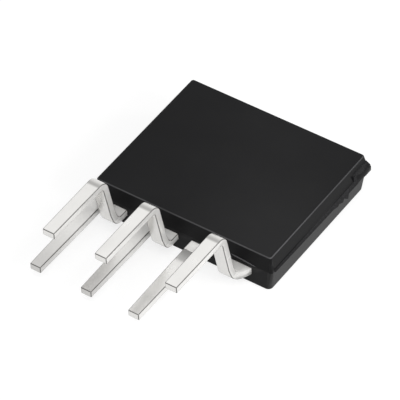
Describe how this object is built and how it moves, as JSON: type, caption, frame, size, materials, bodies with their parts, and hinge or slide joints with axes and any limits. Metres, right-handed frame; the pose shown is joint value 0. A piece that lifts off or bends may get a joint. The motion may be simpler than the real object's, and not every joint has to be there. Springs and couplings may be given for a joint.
{
  "type": "off-line switcher ic",
  "caption": "Flat black moulded power package lying on its heat-sink face, with plated leads in two rows, one straight and one bent up and forward.",
  "frame": {"origin": "centre of the body's heat-sink face, which lies on the surface", "axes": "+Z out of the marking face, +Y from the lead face to the far end, so the leads point along -Y, and +X across the leads towards lead 7"},
  "size_m": [0.0104, 0.0135, 0.004],
  "materials": {
    "mould_compound": "satin",
    "tin_plate": "satin plated",
    "silicon": "polished",
    "solder": "matte",
    "gold_wire": "bright",
    "aluminium_wire": "bright"
  },
  "bodies": {
    "root": {"mould_body": "mould_compound", "lead_1": "tin_plate", "lead_2": "tin_plate", "lead_3": "tin_plate", "lead_4": "tin_plate", "lead_5_with_pad": "tin_plate", "lead_7": "tin_plate", "silicon_die": "silicon", "die_attach": "solder", "signal_bond_wires": "gold_wire", "power_bond_wires": "aluminium_wire"}
  },
  "joints": []
}
